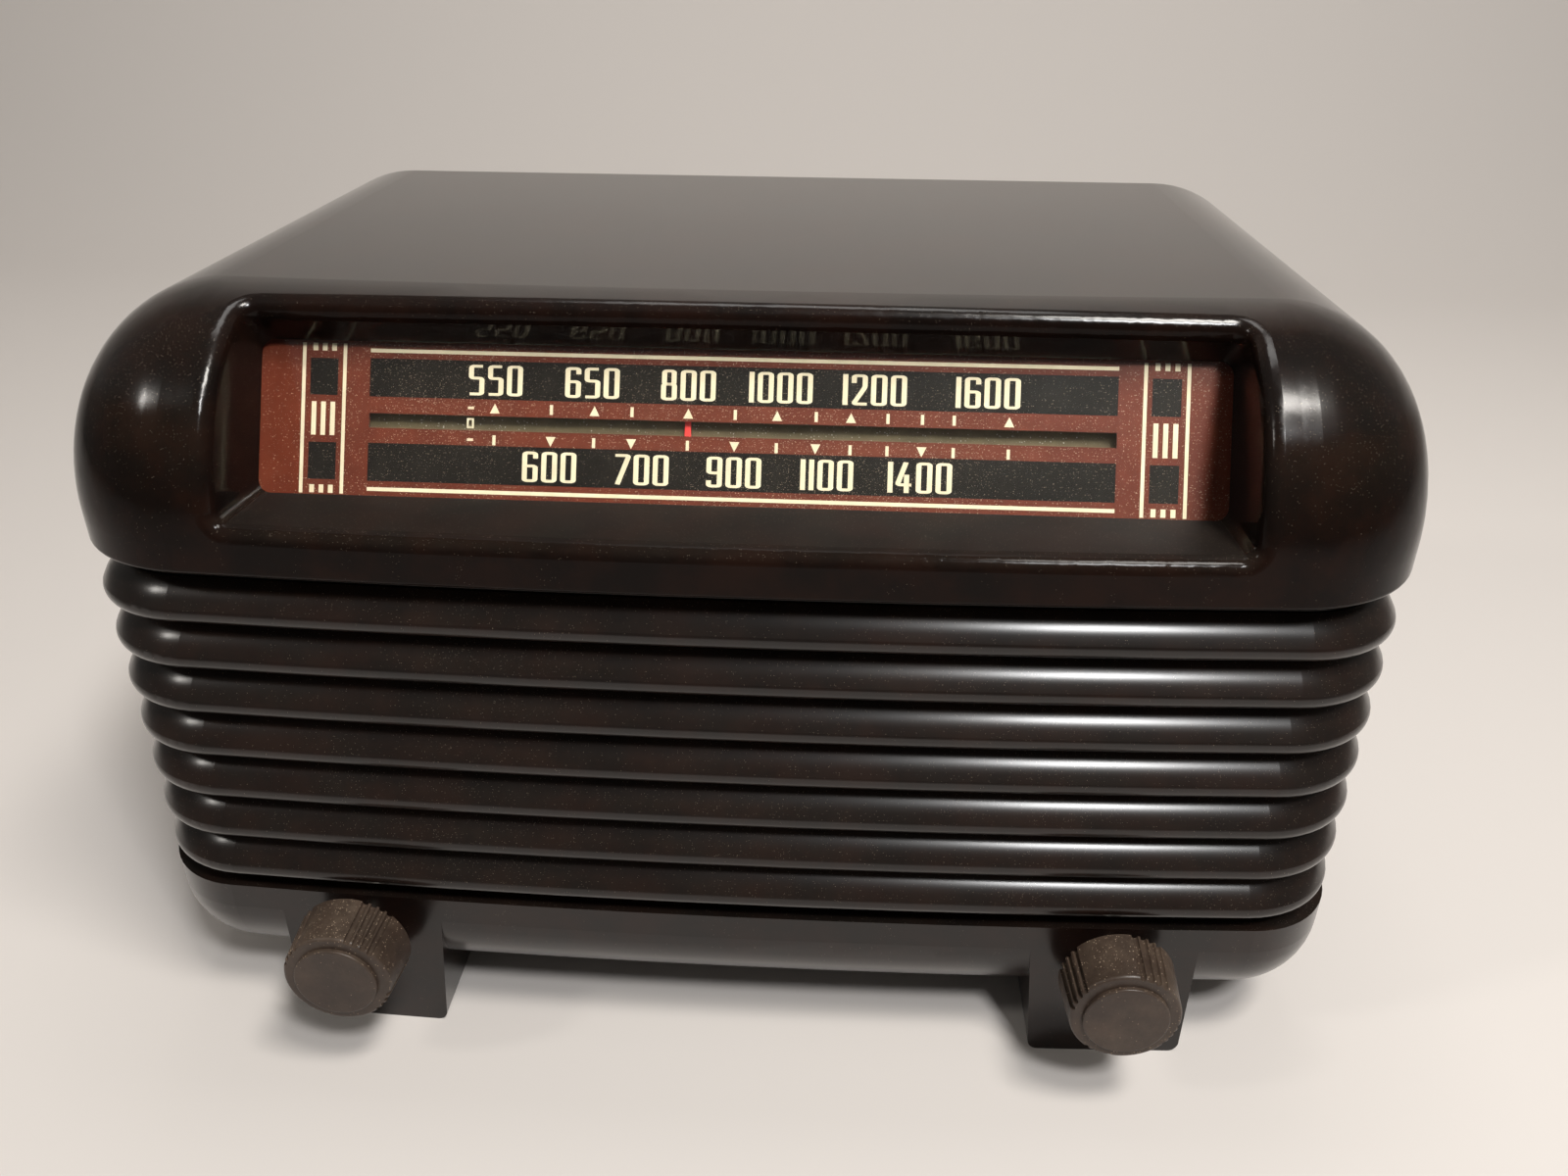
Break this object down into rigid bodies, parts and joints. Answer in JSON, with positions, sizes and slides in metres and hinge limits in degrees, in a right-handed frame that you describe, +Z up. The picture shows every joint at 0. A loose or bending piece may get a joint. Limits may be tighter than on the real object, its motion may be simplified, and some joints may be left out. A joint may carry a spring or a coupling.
{
  "type": "tabletop radio",
  "caption": "Moulded table radio with a round-shouldered ribbed case, a slanted printed dial behind glass, fluted knobs, a cord-driven pointer and a loudspeaker behind the ribs.",
  "frame": {"origin": "on the table, under the middle of the whole set's box, knobs included", "axes": "+X to the right as seen from the front, +Y from the front to the back, +Z up"},
  "size_m": [0.267, 0.174, 0.1635],
  "materials": {
    "phenolic": "gloss, worn and a little dusty",
    "knob_phenolic": "satin, dusty",
    "dial_glass": "clear",
    "dial_print": "printed",
    "pointer_red": "painted",
    "plated_steel": "plated",
    "brass": "plain",
    "aluminium": "plain",
    "pulley_plastic": "plain",
    "cord": "braided",
    "lamp_glass": "clear",
    "fibreboard": "pressed",
    "grille_cloth": "woven",
    "paper": "pressed",
    "iron": "plain",
    "waxed_card": "waxed",
    "rubber": "matt"
  },
  "bodies": {
    "set": {"cabinet": "phenolic", "dial_glass": "dial_glass", "dial_scale": "dial_print", "glass_clips": "plated_steel", "idler_studs": "plated_steel", "pointer_rail": "plated_steel", "dial_bracket": "plated_steel", "chassis": "plated_steel", "chassis_screws": "plated_steel", "capacitor_frame": "plated_steel", "speaker_basket": "plated_steel", "speaker_screws": "plated_steel", "back_screws": "plated_steel", "volume_control": "plated_steel", "tuning_bushing": "brass", "control_nuts": "brass", "lamp_sockets": "brass", "capacitor_stator": "aluminium", "if_transformers": "aluminium", "valve_sockets": "pulley_plastic", "valve_bases": "pulley_plastic", "stator_bars": "pulley_plastic", "terminal_strip": "pulley_plastic", "oscillator_coil": "pulley_plastic", "dial_cord": "cord", "dial_lamps": "lamp_glass", "small_valves": "lamp_glass", "power_valves": "lamp_glass", "speaker_baffle": "fibreboard", "back_cover": "fibreboard", "grille_cloth": "grille_cloth", "speaker_surround": "paper", "speaker_spider": "paper", "speaker_magnet": "iron", "transformer_core": "iron", "filter_capacitor": "waxed_card", "paper_capacitors": "waxed_card", "transformer_coil": "waxed_card", "loop_aerial": "waxed_card", "lead_grommet": "rubber"},
    "tuning_drive": {"tuning_knob": "knob_phenolic", "tuning_shaft": "plated_steel", "tuning_shaft_clip": "plated_steel"},
    "volume_drive": {"volume_knob": "knob_phenolic", "volume_shaft": "plated_steel"},
    "pointer": {"dial_pointer": "pointer_red"},
    "rotor": {"capacitor_rotor": "aluminium", "drive_drum": "aluminium"},
    "idler_left": {"idler_pulley_left": "pulley_plastic"},
    "idler_right": {"idler_pulley_right": "pulley_plastic"},
    "cone": {"speaker_cone": "paper"}
  },
  "joints": [
    {"name": "volume_knob_turn", "type": "hinge", "parent": "set", "child": "volume_drive", "pos_m": [-0.08265, -0.0715, 0.0286], "axis": [0, 1, 0], "range_deg": [0, 300]},
    {"name": "tuning_knob_turn", "type": "hinge", "parent": "set", "child": "tuning_drive", "pos_m": [0.08265, -0.0715, 0.0286], "axis": [0, 1, 0], "range_deg": [-687.5, 1031.3]},
    {"name": "pointer_slide", "type": "slide", "parent": "set", "child": "pointer", "axis": [1, 0, 0], "range_m": [-0.042, 0.063]},
    {"name": "capacitor_rotor_turn", "type": "hinge", "parent": "set", "child": "rotor", "pos_m": [-0.04, -0.034, 0.072], "axis": [0, 1, 0], "range_deg": [-71.62, 107.43]},
    {"name": "idler_left_turn", "type": "hinge", "parent": "set", "child": "idler_left", "pos_m": [-0.062, -0.034, 0.134], "axis": [0, 1, 0], "range_deg": [-481.3, 722]},
    {"name": "idler_right_turn", "type": "hinge", "parent": "set", "child": "idler_right", "pos_m": [0.062, -0.034, 0.134], "axis": [0, 1, 0], "range_deg": [-481.3, 722]},
    {"name": "speaker_cone_slide", "type": "slide", "parent": "set", "child": "cone", "axis": [0, 1, 0], "range_m": [-0.0008, 0.0008], "stiffness_N_per_m": 1500}
  ],
  "couplings": [
    {"joint": "pointer_slide", "follows": "tuning_knob_turn", "m_per_rad": 0.0035},
    {"joint": "capacitor_rotor_turn", "follows": "tuning_knob_turn", "ratio": 0.10417},
    {"joint": "idler_left_turn", "follows": "tuning_knob_turn", "ratio": 0.7},
    {"joint": "idler_right_turn", "follows": "tuning_knob_turn", "ratio": 0.7}
  ]
}
